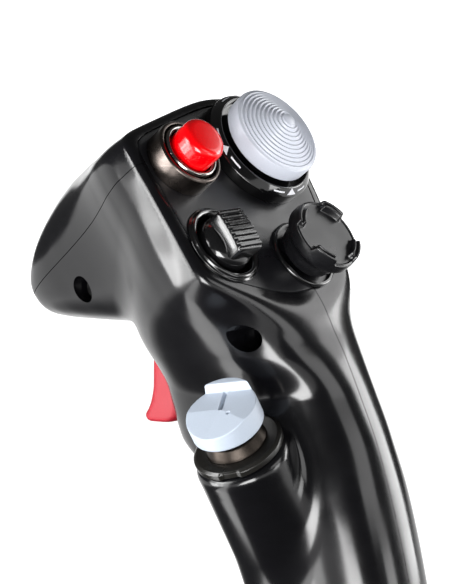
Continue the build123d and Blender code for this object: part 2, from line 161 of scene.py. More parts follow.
def column_field(p):
    """Signed distance, nearly, from superelliptic level sections."""
    z = p[..., 2]
    rear, front, left, right = [through(z, COLUMN, k) for k in (1, 2, 3, 4)]
    a, b = (right - left) / 2, (front - rear) / 2
    x = np.abs(p[..., 0] - (left + right) / 2) / a
    y = np.abs(p[..., 1] - (front + rear) / 2) / b
    return np.maximum(((x ** 2.5 + y ** 2.5) ** 0.4 - 1) * np.minimum(a, b), z - 178)


def tube_field(p):
    """A slightly flared cylinder round the tube's axis, with a rounded rim."""
    away = p - TUBE_RIM
    h = away @ TUBE_AXIS
    r = np.linalg.norm(away - h[..., None] * TUBE_AXIS, axis=-1)
    side = r - TUBE_RADIUS - np.clip(-h - 6, 0, 60) * 0.02
    return -join(-side, -np.maximum(h, -h - 46), 3.2)


def grip_field(p):
    """The three joined with fillets of 12 and 5 mm, and cut off at the panel with a 2.4 mm edge."""
    body = join(join(head_field(p), column_field(p), 12), tube_field(p), 5)
    return -join(-body, -(p - REAR) @ NORMAL, 2.4)


def outer_field(p):
    """The grip above its foot."""
    return np.maximum(grip_field(p), FOOT - p[..., 2])


def cavity_field(p):
    """The grip less its wall, and less the bosses that the screws run in."""
    field = np.maximum(grip_field(p) + WALL, FOOT + WALL - p[..., 2])
    for y, z in SCREWS:
        field = np.maximum(field, SCREW_BOSS - np.hypot(p[..., 1] - y, p[..., 2] - z))
    return field


def gradient(field, p):
    """A field's slope along X, Y and Z, from points either side."""
    reach = 0.02
    steps = np.eye(3) * reach
    return np.stack([field(p + s) - field(p - s) for s in steps], -1) / (2 * reach)


def surface_net(field, low, high, step):
    """Where the field is zero: a vertex in each lattice cell that it crosses, at the mean of the
    cell's edge crossings and then slid onto the surface, and a quad round each crossed edge."""
    axes = [np.arange(a, b + step, step) for a, b in zip(low, high)]
    value = np.stack([field(np.stack(np.meshgrid([x], *axes[1:], indexing="ij"), -1))[0] for x in axes[0]])
    shape = value.shape
    total = np.zeros((value.size, 3))
    count = np.zeros(value.size)
    quads = []
    for k in range(3):
        unit = np.eye(3, dtype=int)
        a, b = unit[(k + 1) % 3], unit[(k + 2) % 3]
        first = np.take(value, range(shape[k] - 1), k)
        second = np.take(value, range(1, shape[k]), k)
        at = np.argwhere((first < 0) != (second < 0))
        f, s = first[tuple(at.T)], second[tuple(at.T)]
        point = np.array(low) + step * (at + (f / (f - s))[:, None] * unit[k])
        ring = [at - a - b, at - b, at, at - a]
        ring = np.stack([np.ravel_multi_index(c.T, shape) for c in ring], 1)
        for c in ring.T:
            np.add.at(total, c, point)
            np.add.at(count, c, 1)
        quads.append(np.where((f < 0)[:, None], ring, ring[:, ::-1]))
    used = np.flatnonzero(count)
    number = np.full(value.size, -1)
    number[used] = np.arange(len(used))
    points = total[used] / count[used][:, None]
    for _ in range(3):
        g = gradient(field, points)
        move = field(points)[:, None] * g / ((g * g).sum(1)[:, None] + 1e-9)
        points -= np.clip(move, -step / 2, step / 2)
    return points, number[np.concatenate(quads)]


def new_object(name, mesh):
    piece = bpy.data.objects.new(name, mesh)
    bpy.context.scene.collection.objects.link(piece)
    return piece


def mesh_of(name, points, faces):
    """A mesh from points in millimetres and faces of any size."""
    mesh = bpy.data.meshes.new(name)
    mesh.from_pydata((np.asarray(points) * 0.001).tolist(), [], [list(f) for f in faces])
    mesh.validate()
    return mesh


def placed(local, origin, x, z):
    """Local points put on a plane with this origin, X direction and normal."""
    z = z / np.linalg.norm(z)
    x = x - z * (x @ z)
    x = x / np.linalg.norm(x)
    local = np.asarray(local, float)
    return origin + local[..., :1] * x + local[..., 1:2] * np.cross(z, x) + local[..., 2:] * z


def on_panel(local, at=(0, 0)):
    """Local points put on the panel, at a place across and up it, with Z out of it."""
    return placed(local, REAR + ACROSS * at[0] + UP * at[1], ACROSS, NORMAL)


def at_crown(local):
    """Local points put on the tube's rim, with Z out along its axis."""
    return placed(local, TUBE_RIM, np.array([0, 1.0, 0]), TUBE_AXIS)


def prism(outline, low, high):
    """A closed prism: one outline at two heights, and a cap on each."""
    n = len(outline)
    points = np.concatenate([np.column_stack([outline, np.full(n, h)]) for h in (low, high)])
    i = np.arange(n)
    sides = np.column_stack([i, (i + 1) % n, (i + 1) % n + n, i + n]).tolist()
    return points, sides + [i[::-1].tolist(), (i + n).tolist()]


def circle(radius, n=96):
    """A polygon of n corners on a circle."""
    angle = np.arange(n) * 2 * math.pi / n
    return radius * np.column_stack([np.cos(angle), np.sin(angle)])


def rectangle(x, y):
    """The corners between two X and two Y values."""
    return np.array([(x[0], y[0]), (x[1], y[0]), (x[1], y[1]), (x[0], y[1])], float)


def panel_outline(inset, n=288):
    """The panel's outline, drawn in by an inset on every side."""
    angle = np.arange(n) * 2 * math.pi / n
    r = outline_radius(angle)
    shape = np.column_stack([r * np.cos(angle), r * np.sin(angle)])
    return shape * (1 - inset / OUTLINE_HALF) + OUTLINE_MIDDLE


def carve(mesh, cutters, operation):
    """The mesh after an exact boolean with a list of (points, faces)."""
    group = bpy.data.collections.new("cutters")
    for points, faces in cutters:
        group.objects.link(bpy.data.objects.new("cutter", mesh_of("cutter", points, faces)))
    whole = new_object("whole", mesh)
    cut = whole.modifiers.new("cut", "BOOLEAN")
    cut.operand_type = "COLLECTION"
    cut.collection = group
    cut.operation = operation
    cut.solver = "EXACT"
    result = bpy.data.meshes.new_from_object(whole.evaluated_get(bpy.context.evaluated_depsgraph_get()))
    bpy.data.objects.remove(whole)
    for cutter in list(group.objects):
        bpy.data.objects.remove(cutter)
    bpy.data.collections.remove(group)
    return result


def true_normals(mesh):
    """Corner normals from the grip's own field where a face follows it, and flat ones elsewhere."""
    count = len(mesh.loops)
    vertex = np.empty(count, int)
    mesh.loops.foreach_get("vertex_index", vertex)
    co = np.empty(len(mesh.vertices) * 3)
    mesh.vertices.foreach_get("co", co)
    co = co.reshape(-1, 3) * 1000
    flat = np.empty(len(mesh.polygons) * 3)
    mesh.polygons.foreach_get("normal", flat)
    size = np.empty(len(mesh.polygons), int)
    mesh.polygons.foreach_get("loop_total", size)
    flat = np.repeat(flat.reshape(-1, 3), size, 0)
    smooth = gradient(grip_field, co)
    smooth /= np.linalg.norm(smooth, axis=1)[:, None] + 1e-9
    smooth[np.abs(grip_field(co)) > 0.06] = 0
    smooth = smooth[vertex]
    follows = (smooth * flat).sum(1) > 0.6
    mesh.polygons.foreach_set("use_smooth", np.ones(len(mesh.polygons), bool))
    mesh.normals_split_custom_set(np.where(follows[:, None], smooth, flat).tolist())


def shell_cutters():
    """What is missing from the grip: panel recess, tube bore, screw holes, trigger slot, socket."""
    cutters = []
    for outline, low, high in ((panel_outline(RIM), -PANEL_THICK, 3), (panel_outline(RIM + LEDGE), -9, 0)):
        points, faces = prism(outline, low, high)
        cutters.append((on_panel(points), faces))
    points, faces = prism(circle(10.1), -14, 2)
    cutters.append((at_crown(points), faces))
    for y, z in SCREWS:
        for radius, low, high in ((SCREW_HEAD, -60, -13), (SCREW_CORE, -14, 11)):
            points, faces = prism(circle(radius, 64), low, high)
            cutters.append((placed(points, np.array([0, y, z]), np.array([0, 1.0, 0]), ACROSS), faces))
    for at in (WEAPON_AT, CASTLE_AT):
        points, faces = prism(rectangle((-6.6, 6.6), (-6.6, 6.6)), -13, 1)
        cutters.append((on_panel(points, at), faces))
    points, faces = prism(circle(10.2), -13, 1)
    cutters.append((on_panel(points, WEAPON_AT), faces))
    cutters.append(prism(rectangle((-6.4, 6.4), (40, 80)), 104.6, 130.8))
    cutters.append(prism(circle(13.2), 0, 24))
    return cutters


def seam_box(x, y, z):
    """A box on the nose cover's seam, which crosses the panel and leans forward with depth."""
    lean = math.radians(SEAM_LEAN)
    normal = UP * math.cos(lean) + NORMAL * math.sin(lean)
    points, faces = prism(rectangle(x, y), *z)
    return placed(points, REAR + UP * SEAM_AT, ACROSS, normal), faces


OUTER_STEP, INNER_STEP = 0.9, 1.7
points, faces = surface_net(outer_field, (-44, -26, 4), (31, 108, 200), OUTER_STEP)
inner_points, inner_faces = surface_net(cavity_field, (-41, -23, 6), (28, 105, 197), INNER_STEP)
faces = np.concatenate([faces, inner_faces[:, ::-1] + len(points)])
grip = mesh_of("grip", np.concatenate([points, inner_points]), faces)
grip = carve(grip, shell_cutters(), "DIFFERENCE")
parts = {
    "nose_cover_moulding": [seam_box((-90, 90), (-200, 200), (SEAM_GAP, 200))],
    "left_shell_moulding": [seam_box((-90, -SEAM_GAP), (-200, 200), (-200, -SEAM_GAP))],
    "right_shell_moulding": [seam_box((SEAM_GAP, 90), (-200, 200), (-200, -SEAM_GAP))],
}
shells = []
for name, keep in parts.items():
    piece = new_object(name, carve(grip.copy(), keep, "INTERSECT"))
    true_normals(piece.data)
    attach(piece, "grip")
    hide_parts(name.replace("_moulding", ""))
    shells.append(piece)
bpy.data.meshes.remove(grip)


def linear(code):
    """An sRGB hex colour as linear RGBA."""
    c = np.array([int(code[i:i + 2], 16) for i in (0, 2, 4)]) / 255
    c = np.where(c <= 0.04045, c / 12.92, ((c + 0.055) / 1.055) ** 2.4)
    return (*c.tolist(), 1.0)


def add(tree, kind, settings=(), inputs=(), **links):
    """Adds a node, sets its properties and its inputs, and links the inputs that are named."""
    node = tree.nodes.new("ShaderNode" + kind)
    for key, value in dict(settings).items():
        setattr(node, key, value)
    for key, value in dict(inputs).items():
        node.inputs[key].default_value = value
    for key, socket in links.items():
        tree.links.new(node.inputs[key], socket)
    return node


def moulded(name, colour, roughness, spread, grain, depth, stretch=(1, 1, 1), mottle=0.13, **own):
    """A moulded or turned surface. Its fine grain has a size and a depth in metres and is drawn out
    along an axis by a stretch under 1; tone follows the grain by a share, the mottle; roughness
    drifts by its spread over blotches 12 mm across."""
    made = bpy.data.materials.new(name)
    made.use_nodes = True
    tree = made.node_tree
    shader = tree.nodes["Principled BSDF"]
    shader.inputs["IOR"].default_value = 1.49
    for key, value in own.items():
        shader.inputs[key.replace("_", " ")].default_value = value
    where = add(tree, "TexCoord").outputs["Object"]
    drawn = add(tree, "Mapping", inputs={"Scale": stretch}, Vector=where).outputs[0]
    fine = add(tree, "TexNoise", inputs={"Scale": 1 / grain, "Detail": 3.0}, Vector=drawn).outputs["Fac"]
    large = add(tree, "TexNoise", inputs={"Scale": 80.0, "Detail": 4.0}, Vector=where).outputs["Fac"]
    rough = add(tree, "MapRange", inputs={"From Min": 0.3, "From Max": 0.7,
                "To Min": roughness - spread, "To Max": roughness + spread}, Value=large)
    tree.links.new(shader.inputs["Roughness"], rough.outputs[0])
    tone = add(tree, "ValToRGB", Fac=fine)
    tone.color_ramp.elements[0].color = [c * (1 - mottle) for c in linear(colour)[:3]] + [1]
    tone.color_ramp.elements[1].color = [min(c * (1 + mottle), 1) for c in linear(colour)[:3]] + [1]
    tone.color_ramp.elements[0].position = 0.35
    tone.color_ramp.elements[1].position = 0.65
    tree.links.new(shader.inputs["Base Color"], tone.outputs[0])
    relief = add(tree, "Bump", inputs={"Strength": 1.0, "Distance": depth}, Height=fine)
    tree.links.new(shader.inputs["Normal"], relief.outputs[0])
    return made


def dress(piece, made):
    """Gives a piece one material."""
    piece.data.materials.clear()
    piece.data.materials.append(made)


# Glossy black ABS from a polished mould: sharp highlights, with faint flow lines up the handle
shell_black = moulded("black_abs_polished", "08080a", 0.17, 0.04, 0.0006, 0.000002,
                      stretch=(0.12, 0.12, 1))
for piece in shells:
    dress(piece, shell_black)


# ------------------------------------------------------------------ panel plate
# A black ABS plate let into the head, 0.25 mm clear all round, with four holes for the controls.
def smooth_by_angle(mesh, degrees=32):
    """Smooth shading, but for edges sharper than an angle."""
    mesh.polygons.foreach_set("use_smooth", np.ones(len(mesh.polygons), bool))
    mesh.set_sharp_from_angle(angle=math.radians(degrees))


def finish_piece(name, mesh, body, slot, made, *replaced):
    """Puts a finished mesh on its body and in its material, in place of its CAD nodes; its slot is not used.
    """
    piece = new_object(name, mesh)
    smooth_by_angle(mesh)
    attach(piece, body)
    if replaced:
        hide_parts(*replaced)
    dress(piece, made)
    return piece


PLATE_GAP = 0.25
layers = [(PLATE_GAP, -PANEL_THICK), (PLATE_GAP, -0.35), (PLATE_GAP + 0.2, -0.05), (PLATE_GAP + 0.65, 0.0)]
n = 288
points = [np.column_stack([panel_outline(RIM + inset, n), np.full(n, h)]) for inset, h in layers]
points = np.concatenate(points)
i = np.arange(n)
faces = [i[::-1].tolist()]
for k in range(len(layers) - 1):
    faces += (np.column_stack([i, (i + 1) % n, (i + 1) % n + n, i + n]) + k * n).tolist()
faces.append((i + (len(layers) - 1) * n).tolist())
holes = []
for at, radius in ((RED_AT, 7.6), (TRIM_AT, 9.4), (WEAPON_AT, 10.2), (CASTLE_AT, 4.6)):
    hole, sides = prism(circle(radius), -6, 3)
    holes.append((on_panel(hole, at), sides))
plate = carve(mesh_of("plate", on_panel(points), faces), holes, "DIFFERENCE")
# Satin black ABS with fine lines across it, which soften what it mirrors
panel_black = moulded("black_abs_satin", "101013", 0.30, 0.05, 0.0005, 0.000004, stretch=(0.08, 1, 1))
finish_piece("panel_plate_moulding", plate, "grip", "panel_black", panel_black, "panel_plate")


# ------------------------------------------------------------------ red push button
# A turned collar in dark nickel stands on the plate; inside it two bright rings with a groove
# between them surround a glossy red cap with a rounded top.
def rounded(profile, radius, steps=5):
    """A polyline with each inner corner replaced by a short parabola."""
    p = np.array(profile, float)
    out = [p[:1]]
    t = np.linspace(0, 1, steps)[:, None]
    for before, corner, after in zip(p[:-2], p[1:-1], p[2:]):
        a, b = before - corner, after - corner
        la, lb = np.linalg.norm(a), np.linalg.norm(b)
        reach = min(radius, la * 0.45, lb * 0.45)
        a, b = corner + a / la * reach, corner + b / lb * reach
        out.append(a * (1 - t) ** 2 + corner * 2 * t * (1 - t) + b * t ** 2)
    return np.concatenate(out + [p[-1:]])


def lathe(profile, n=160, shape=None):
    """A profile of (radius, height) turned round Z, closed where it meets the axis; shape, if
    given, moves each point as a function of its radius, height and angle."""
    profile = np.asarray(profile, float)
    angle = np.arange(n) * 2 * math.pi / n
    r, h, a = np.broadcast_arrays(profile[:, :1], profile[:, 1:], angle)
    if shape is not None:
        r, h = shape(r, h, a)
    points = np.stack([r * np.cos(a), r * np.sin(a), h], -1).reshape(-1, 3)
    i = np.arange(n)
    faces = []
    for k in range(len(profile) - 1):
        faces.append(np.column_stack([i, (i + 1) % n, (i + 1) % n + n, i + n]) + k * n)
    return points, np.concatenate(faces)


def closed(points, faces, n=160):
    """Caps for a turned surface's first and last rings."""
    last = len(points) - n
    return points, faces.tolist() + [np.arange(n)[::-1].tolist(), (np.arange(n) + last).tolist()]


def looped(points, faces, n=160):
    """Joins a turned surface's last ring back to its first, for a ring-shaped piece."""
    i = np.arange(n)
    last = len(points) - n
    return points, faces.tolist() + np.column_stack([i + last, (i + 1) % n + last, (i + 1) % n, i]).tolist()


def turned_mesh(name, profile, place, ring=True, n=160, shape=None):
    """A turned piece as a mesh, put in its place, its seams merged and its faces pointing out."""
    points, faces = lathe(profile, n, shape)
    points, faces = looped(points, faces, n) if ring else closed(points, faces, n)
    mesh = mesh_of(name, place(points), faces)
    work = bmesh.new()
    work.from_mesh(mesh)
    bmesh.ops.remove_doubles(work, verts=work.verts, dist=1e-7)
    bmesh.ops.recalc_face_normals(work, faces=work.faces)
    work.to_mesh(mesh)
    work.free()
    return mesh


def at_panel(at):
    """A function that puts local points at a place on the panel."""
    return lambda p: on_panel(p, at)


# Nickel-plated brass, turned and dark: brushed round, so its highlight is a soft upright band
gunmetal = moulded("dark_nickel_brushed", "57504c", 0.26, 0.06, 0.0004, 0.000003,
                   stretch=(1, 0.1, 1), Metallic=1.0)
# Polished chrome plate: dark where it mirrors the dark collar, with bright rims
chrome = moulded("chrome_polished", "8c8784", 0.16, 0.04, 0.0008, 0.0000005, Metallic=1.0)
# Red ABS from a polished mould
button_red = moulded("red_abs_polished", "d60006", 0.17, 0.04, 0.0007, 0.0000006, mottle=0.04)

collar = rounded([(6.7, 3.4), (8.1, 3.4), (8.1, 4.6), (8.6, 6.2), (9.3, 6.2), (9.7, 5.7), (9.7, 0.02),
                  (7.4, 0.02), (7.4, -6.4), (6.7, -6.4)], 0.16)


def key_notch(r, h, a):
    """A round notch in the collar's foot, on the right below."""
    near = np.exp(-((a - math.radians(310)) * 9.7 / 0.8) ** 4 - ((h - 0.5) / 0.9) ** 4)
    return r - np.where(r > 9.2, 0.9 * near, 0), h


mesh = turned_mesh("collar", collar, at_panel(RED_AT), n=320, shape=key_notch)
finish_piece("red_button_collar_turned", mesh, "grip", "gunmetal", gunmetal, "red_button_collar")
bezel = rounded([(6.62, 3.5), (8.0, 3.5), (8.0, 6.0), (7.7, 6.7), (7.2, 6.8), (6.62, 6.3)], 0.25)
mesh = turned_mesh("bezel", bezel, at_panel(RED_AT))
finish_piece("red_button_bezel_ring", mesh, "grip", "chrome", chrome, "red_button_bezel")
cap = rounded([(0.02, -4.0), (1.4, -4.0), (1.4, -2), (6.2, -2), (6.2, 13.0), (0.02, 13.0)], 2.3, 9)
mesh = turned_mesh("cap", cap, at_panel(RED_AT), ring=False)
finish_piece("red_button_cap_moulding", mesh, "red_button", "button_red", button_red, "red_button_cap")


# ------------------------------------------------------------------ trim hat
# A broad grey ABS cap, a low cone ringed with ridges for the thumb, tilts over a glossy black
# bezel whose chamfer is printed with four white arrowheads and eight bars.
def ridged_cone():
    """The cap's profile: a wall, then a low cone whose height has ten rounded ridges."""
    r = np.linspace(12.5, 0.02, 240)
    slope = 10.5 + (12.5 - r) / 12.5 * 5.9
    ridge = np.where((r > 2.0) & (r < 12.3), 0.2 * np.sin(2 * math.pi * (12.3 - r) / 1.02), 0)
    tip = np.clip((2.2 - r) / 2.2, 0, 1)
    wall = [(0.02, 5.6), (12.6, 5.6), (13.1, 6.1), (13.2, 9.7), (13.0, 10.3)]
    return np.array(wall + np.column_stack([r, slope + ridge - 0.5 * tip ** 2]).tolist())


# Black ABS with a clear coat, the glossiest surface here
bezel_black = moulded("black_abs_gloss", "0a0a0b", 0.12, 0.04, 0.0006, 0.000001, Coat_Weight=0.4,
                      Coat_Roughness=0.04)
# Light grey ABS from a satin mould, and white pad-printing ink
cap_grey = moulded("grey_abs_satin", "b9bdc7", 0.36, 0.05, 0.00035, 0.000001, mottle=0.02)
paint_white = moulded("white_ink_printed", "d9dadf", 0.42, 0.05, 0.0002, 0.000004)
bezel = rounded([(9.5, 0.02), (16.4, 0.02), (16.4, 3.1), (16.1, 3.5), (14.7, 5.0), (14.2, 5.0),
                 (14.2, 2.4), (9.5, 2.4)], 0.14)
mesh = turned_mesh("bezel", bezel, at_panel(TRIM_AT))
finish_piece("trim_bezel_ring", mesh, "grip", "bezel_black", bezel_black, "trim_bezel")


def marks():
    """Printed marks on the bezel's chamfer: an arrowhead at each side, with a bar either side of
    it. Each is a patch over an angle and a place across the chamfer, a hair above it."""
    # Angle from the side's middle, half width in degrees, from and to across the chamfer, taper
    shapes = ((0, 6.5, 0.1, 0.95, 1), (-17, 7, 0.35, 0.55, 0), (17, 7, 0.35, 0.55, 0))
    points, faces = [], []
    t = np.linspace(0, 1, 5)[:, None]
    for side in range(4):
        for offset, half, low, high, taper in shapes:
            width = math.radians(half) * (1 - taper * t)
            a = math.radians(90 * side + offset) + width * np.linspace(-1, 1, 9)
            across = low + (high - low) * t
            r = 16.13 - 1.4 * across + 0.015
            h = 3.53 + 1.5 * across + 0.015 + 0 * a
            grid = len(points) + np.arange(45).reshape(5, 9)
            points += np.stack([r * np.cos(a), r * np.sin(a), h], -1).reshape(-1, 3).tolist()
            corners = [grid[:-1, :-1], grid[:-1, 1:], grid[1:, 1:], grid[1:, :-1]]
            faces += np.stack(corners, -1).reshape(-1, 4).tolist()
    return points, faces


points, faces = marks()
marked = mesh_of("marks", on_panel(points, TRIM_AT), faces)
finish_piece("trim_bezel_marks", marked, "grip", "bezel_black", paint_white)
mesh = turned_mesh("cap", ridged_cone(), at_panel(TRIM_AT), ring=False)
finish_piece("trim_cap_ridged", mesh, "trim_hat", "cap_grey", cap_grey, "trim_cap")

# ------------------------------------------------------------------ weapon hat
# A glossy dome tilts in a two-step ring and carries a ribbed thumb pad, all in black nylon.
# Black nylon from a polished mould
hat_black = moulded("black_nylon_gloss", "0c0c0d", 0.16, 0.05, 0.0005, 0.000002, Coat_Weight=0.3,
                    Coat_Roughness=0.06)
bezel = rounded([(8.9, -1.6), (10.0, -1.6), (10.0, 0.02), (11.2, 0.02), (11.2, 0.5), (10.6, 0.7),
                 (10.4, 1.3), (10.0, 1.5), (9.3, 1.3), (8.9, 0.7)], 0.15)
mesh = turned_mesh("bezel", bezel, at_panel(WEAPON_AT))
finish_piece("weapon_bezel_ring", mesh, "grip", "bezel_black", bezel_black, "weapon_bezel")
dome = rounded([(0.02, -1.5), (7.7, -1.5), (7.75, 0.8), (7.3, 2.6), (6.0, 4.0), (3.6, 4.8),
                (0.02, 5.0)], 1.2, 7)
mesh = turned_mesh("dome", dome, at_panel(WEAPON_AT), ring=False)
finish_piece("weapon_dome_moulding", mesh, "weapon_hat", "hat_black", hat_black, "weapon_dome")


def block_mesh(name, place, half, low, height, n=(70, 120), power=9):
    """A pad on a rounded-rectangle plan: walls up from low, then a top whose height is a function
    of the place across it. Rings of the plan shrink to the middle."""
    u = np.concatenate([np.linspace(1, 0.97, 4), np.linspace(0.965, 0.0005, n[0])])
    a = np.arange(n[1] * 4) * 2 * math.pi / (n[1] * 4)
    c, s = np.cos(a), np.sin(a)
    reach = (np.abs(c) ** power + np.abs(s) ** power) ** (-1 / power)
    x = u[:, None] * reach * c * half[0]
    y = u[:, None] * reach * s * half[1]
    top = height(x, y, u[:, None])
    rings = [np.stack([x[0], y[0], np.full(len(a), h)], -1) for h in np.linspace(low, top[0].min() - 0.3, 6)]
    points = np.concatenate(rings + [np.stack([x, y, top], -1).reshape(-1, 3)])
    m = len(a)
    i = np.arange(m)
    count = len(points) // m
    faces = [np.column_stack([i, (i + 1) % m, (i + 1) % m + m, i + m]) + k * m for k in range(count - 1)]
    faces = np.concatenate(faces).tolist() + [i[::-1].tolist(), (i + (count - 1) * m).tolist()]
    return mesh_of(name, place(points), faces)


def ribs(x, y, u):
    """Ribs 1.55 mm apart across the pad, flat-topped, on a crown that falls to both ends; they stop
    short of its sides, and its edge is rounded down."""
    crown = 8.1 - 0.013 * y ** 2
    rib = 0.32 * np.clip(2.2 * np.cos(2 * math.pi * y / 1.55) + 0.5, -1, 1)
    land = 1 / (1 + np.exp((np.abs(x) - 4.45) / 0.08))
    edge = 0.5 * np.clip((u - 0.955) / 0.045, 0, 1) ** 2
    return crown + rib * land - 0.3 * (1 - land) - edge


mesh = block_mesh("pad", at_panel(WEAPON_AT), (4.8, 6.2), 3.4, ribs)
finish_piece("weapon_pad_ribbed", mesh, "weapon_hat", "hat_black", hat_black, "weapon_pad")

# ------------------------------------------------------------------ castle hat
# A flared black nylon cap with a satin top and four raised lugs round its rim, tilting over a
# plain ring that is glued to the panel plate.
base = rounded([(9.0, 0.02), (9.9, 0.02), (9.9, 0.8), (9.6, 1.2), (9.0, 1.2)], 0.2)
mesh = turned_mesh("base", base, at_panel(CASTLE_AT))
finish_piece("castle_base_ring", mesh, "grip", "bezel_black", bezel_black, "castle_base")


def castle_top(r, h, a):
    """Four lugs at 45 degrees: a double ridge near the rim, with steep ends and sides."""
    turn = (a - math.radians(45)) % (math.pi / 2)
    turn = np.minimum(turn, math.pi / 2 - turn) * 8.8
    ends = 1 / (1 + np.exp((turn - 3.2) / 0.12))
    across = 1 / (1 + np.exp((7.75 - r) / 0.08)) * 1 / (1 + np.exp((r - 10.12) / 0.05))
    groove = 1 - 0.45 * np.exp(-((r - 8.95) / 0.38) ** 4)
    rim = 0.22 * np.exp(-((r - 9.55) / 0.22) ** 2)
    return r, h + np.where(h > 9.5, ends * across * groove * 1.9 + rim * (1 - ends), 0)


rings = np.concatenate([np.linspace(10.2, 7.4, 46), np.linspace(7.3, 0.02, 14)])
wall = rounded([(0.02, 1.5), (7.6, 1.5), (7.7, 2.0), (8.7, 5.5), (10.3, 7.4), (10.3, 9.3), (10.22, 9.9)], 0.5)
mesh = turned_mesh("cap", np.concatenate([wall, np.column_stack([rings, np.full(60, 10.2)])]),
                   at_panel(CASTLE_AT), ring=False, n=480, shape=castle_top)
# The same nylon, brushed across: a grey sheen on the top
hat_satin = moulded("black_nylon_brushed", "121214", 0.30, 0.06, 0.0005, 0.000005, stretch=(0.08, 1, 1))
finish_piece("castle_cap_moulding", mesh, "castle_hat", "hat_black", hat_satin, "castle_cap")

# ------------------------------------------------------------------ side hat on its tube
# A black turned flange closes the tube, and a blasted metal cone stands on it. Over them tilts a
# white ABS cap with a raised back and a slot.
flange_black = moulded("black_anodised_turned", "151412", 0.28, 0.06, 0.0004, 0.000004)
# White ABS, but its colour is a painted shade: a blue grey, darker than white ABS, that offsets the strong
# lamps on it.
cap_white = moulded("white_abs_satin_painted_shade", "9fa8b4", 0.42, 0.05, 0.0004, 0.000001, mottle=0.02)
# Nickel plate over a bead-blasted face: dark, with a broken highlight
cone_metal = moulded("dark_nickel_blasted", "35302c", 0.34, 0.08, 0.0003, 0.00002, Metallic=1.0)
flange = rounded([(7.6, 0.9), (7.6, 2.4), (11.2, 2.4), (12.0, 1.7), (12.0, 0.25), (10.0, 0.2),
                  (10.0, -12), (8.9, -12), (8.9, 0.9)], 0.18)


def flange_notch(r, h, a):
    """A flat-bottomed notch in the flange's edge, on the side towards the pilot."""
    near = np.exp(-((a - math.radians(112)) * 12 / 2.6) ** 8)
    return r - np.where(r > 11.5, 0.7 * near, 0), h


mesh = turned_mesh("flange", flange, at_crown, n=320, shape=flange_notch)
finish_piece("crown_flange_turned", mesh, "grip", "flange_black", flange_black, "crown_flange")
cone = rounded([(5.7, 2.4), (8.4, 2.4), (8.2, 3.2), (7.0, 5.6), (5.7, 5.6)], 0.4)
mesh = turned_mesh("cone", cone, at_crown)
finish_piece("crown_collar_turned", mesh, "grip", "gunmetal", cone_metal, "crown_collar")


def crown_top(r, h, a):
    """A crescent raised 2.3 mm along the back, a slot from the middle towards it, a front that
    rolls off beyond a shallow V, and a pinhole beside the V. The wall stretches to meet them."""
    x, y = r * np.cos(a), r * np.sin(a)

    def along(degrees):
        return x * math.cos(math.radians(degrees)) + y * math.sin(math.radians(degrees))

    crescent = 2.4 / (1 + np.exp(-(along(-75) - 7.2) / 0.1))
    slot = -0.9 * np.exp(-(along(21) / 0.55) ** 6) / (1 + np.exp((np.abs(along(-69) - 3.6) - 3.5) / 0.08))
    front = -0.2 * np.clip(y - 0.28 * np.abs(x), 0, None)
    pinhole = -1.2 * np.exp(-(np.hypot(x + 2.9, y - 0.8) / 0.42) ** 4)
    return r, h + np.clip((h - 8.1) / 5.2, 0, 1) * (crescent + front) + np.where(h > 13.7, slot + pinhole, 0)


rings = np.concatenate([[9.62, 9.5], np.linspace(9.3, 0.02, 90)])
wall = rounded([(0.02, 7.6), (9.2, 7.6), (9.65, 8.1), (9.65, 12.3)], 0.3)
profile = np.concatenate([wall, np.column_stack([[9.65, 9.64], [12.6, 13.3]]),
                          np.column_stack([rings, np.concatenate([[13.6, 13.75], np.full(90, 13.8)])])])
mesh = turned_mesh("cap", profile, at_crown, ring=False, n=360, shape=crown_top)
finish_piece("crown_cap_moulding", mesh, "crown_hat", "cap_white", cap_white, "crown_cap")


# ------------------------------------------------------------------ trigger
# A crimson ABS blade on a cross pin, hollowed for the finger and flared at its foot. Each level
# section is a superellipse between the front and rear given for its height.
TRIGGER = np.array([  # height, front, rear, half width
    (106.0, 66.3, 58.3, 5.2), (106.5, 66.9, 57.4, 5.8), (107.6, 67.3, 55.8, 6.0),
    (109.5, 66.1, 54.9, 6.0), (111.7, 65.0, 54.2, 6.0), (115.9, 63.9, 53.2, 6.0),
    (119.5, 63.7, 52.0, 6.0), (122.7, 63.6, 50.0, 6.0), (125.5, 63.5, 49.9, 6.0),
    (127.5, 63.4, 50.2, 6.0), (128.6, 63.0, 51.8, 5.8), (129.3, 61.5, 53.5, 5.0)])
around, levels = 96, 90
z = np.linspace(TRIGGER[0, 0], TRIGGER[-1, 0], levels)
front, rear, half = [through(z, TRIGGER, k)[:, None] for k in (1, 2, 3)]
a = np.arange(around) * 2 * math.pi / around
reach = (np.abs(np.cos(a)) ** 5 + np.abs(np.sin(a)) ** 5) ** -0.2
x = half * reach * np.cos(a)
y = (front + rear) / 2 + (front - rear) / 2 * reach * np.sin(a)
points = np.stack([x, y, np.broadcast_to(z[:, None], x.shape)], -1).reshape(-1, 3)
i = np.arange(around)
band = np.column_stack([i, (i + 1) % around, (i + 1) % around + around, i + around])
faces = np.concatenate([band + k * around for k in range(levels - 1)]).tolist()
faces += [i[::-1].tolist(), (i + (levels - 1) * around).tolist()]
# Matt ABS, dyed crimson, so its lit side is even and has no sharp highlight
crimson = moulded("crimson_abs_matte", "8c0018", 0.6, 0.05, 0.0006, 0.000006, mottle=0.05)
blade = mesh_of("blade", points, faces)
finish_piece("trigger_blade", blade, "trigger", "trigger_crimson", crimson, "trigger")


# ------------------------------------------------------------------ ring nut
# An aluminium nut, turned, milled with 24 rounded grip grooves and anodised black. It turns on
# the spigot's lip and screws onto the base.
def grooves(r, h, a):
    """Twenty-four shallow grooves in the nut's outer wall."""
    wave = 0.5 + 0.5 * np.cos(24 * a)
    inside = (h > -8) & (h < 6) & (r > 20.4)
    return r - np.where(inside, 0.75 * wave ** 4, 0), h


